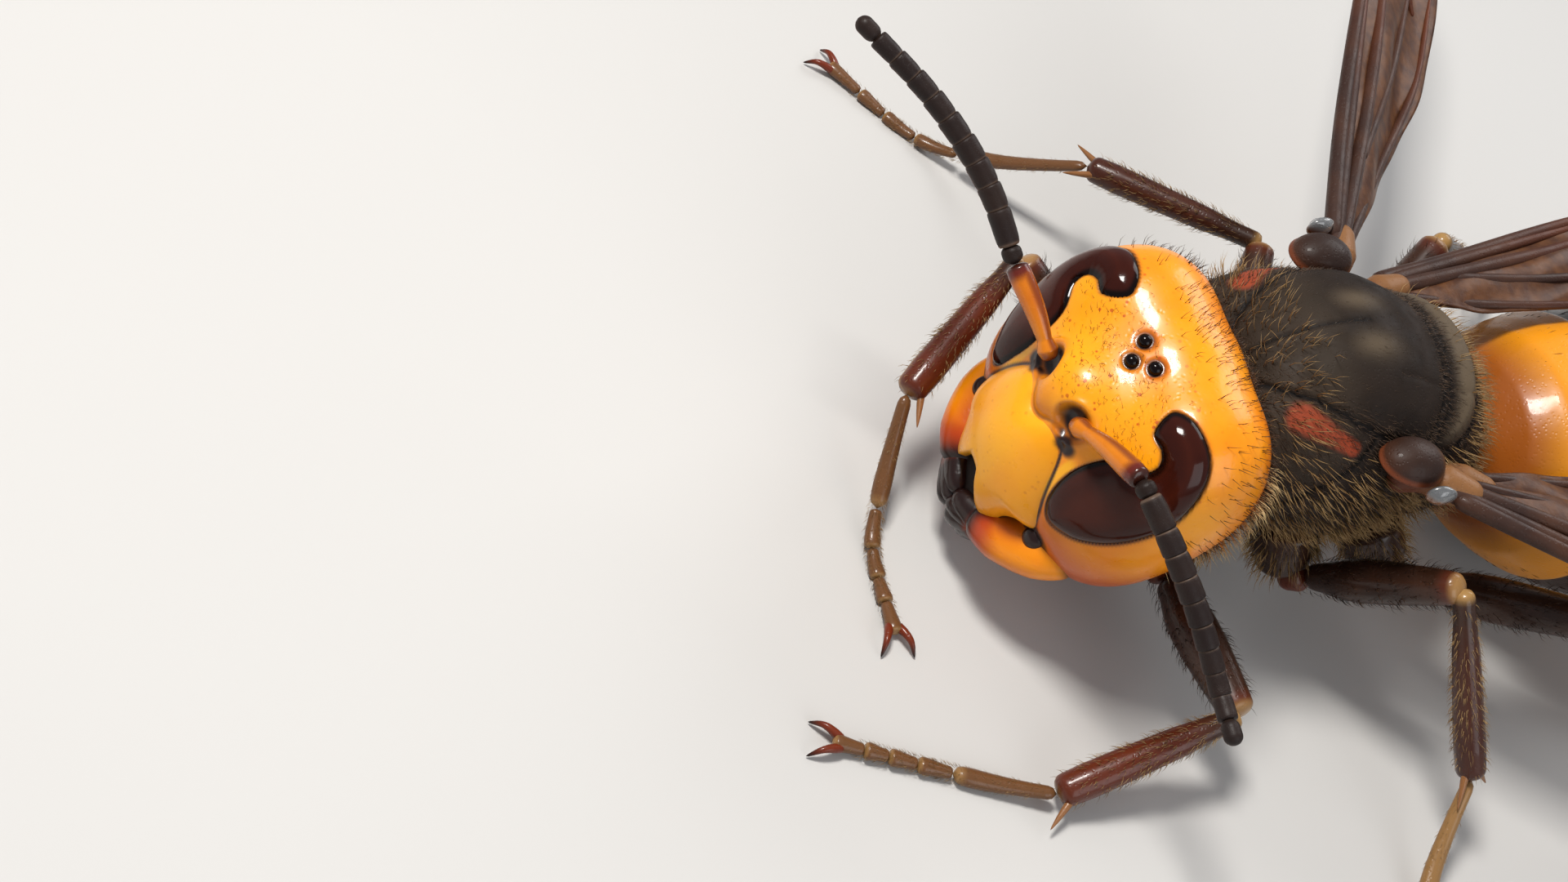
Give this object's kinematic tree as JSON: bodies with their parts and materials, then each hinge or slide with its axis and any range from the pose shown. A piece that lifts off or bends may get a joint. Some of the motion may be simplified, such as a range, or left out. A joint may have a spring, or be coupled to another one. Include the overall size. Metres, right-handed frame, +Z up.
{
  "type": "asian giant hornet model",
  "caption": "Life-size still model of an asian giant hornet standing with raised antennae, half-open wings and a banded abdomen.",
  "frame": {"origin": "middle of the box on the ground under the feet", "axes": "-Y the way the head faces, +X the hornet's left, +Z up"},
  "size_m": [0.0494, 0.0458, 0.014],
  "materials": {
    "head_shell": "glossy orange-yellow chitin with fine pits",
    "face_plate": "glossy orange chitin with dark seams and black teeth",
    "eye": "glossy dark maroon",
    "antenna_base": "satin orange-brown",
    "antenna": "satin black-brown",
    "thorax": "velvety black-brown with golden hair",
    "joint_membrane": "dark brown satin",
    "abdomen": "glossy dark brown with orange rear bands",
    "abdomen_band": "glossy orange",
    "leg": "glossy dark brown",
    "foot": "satin brown with golden hair",
    "wing": "smoky amber membrane with brown veins"
  },
  "bodies": {
    "root": {"head": "head_shell", "clypeus": "face_plate", "eye_left": "eye", "mandible_left": "face_plate", "scape_left": "antenna_base", "flagellum_left": "antenna", "tegula_left": "thorax", "forewing_left": "wing", "hindwing_left": "wing", "coxa_fore_left": "leg", "femur_fore_left": "leg", "tibia_fore_left": "leg", "tarsus_fore_left": "foot", "coxa_mid_left": "leg", "femur_mid_left": "leg", "tibia_mid_left": "leg", "tarsus_mid_left": "foot", "coxa_hind_left": "leg", "femur_hind_left": "leg", "tibia_hind_left": "leg", "tarsus_hind_left": "foot", "eye_right": "eye", "mandible_right": "face_plate", "scape_right": "antenna_base", "flagellum_right": "antenna", "tegula_right": "thorax", "forewing_right": "wing", "hindwing_right": "wing", "coxa_fore_right": "leg", "femur_fore_right": "leg", "tibia_fore_right": "leg", "tarsus_fore_right": "foot", "coxa_mid_right": "leg", "femur_mid_right": "leg", "tibia_mid_right": "leg", "tarsus_mid_right": "foot", "coxa_hind_right": "leg", "femur_hind_right": "leg", "tibia_hind_right": "leg", "tarsus_hind_right": "foot", "mesoscutum": "thorax", "scutellum": "thorax", "pronotum": "thorax", "propodeum": "thorax", "mesothorax": "thorax", "neck": "joint_membrane", "petiole": "joint_membrane", "abdomen_1": "abdomen_band", "abdomen_2": "abdomen", "abdomen_3": "abdomen", "abdomen_4": "abdomen", "abdomen_5": "abdomen", "abdomen_6": "abdomen_band"}
  },
  "joints": []
}
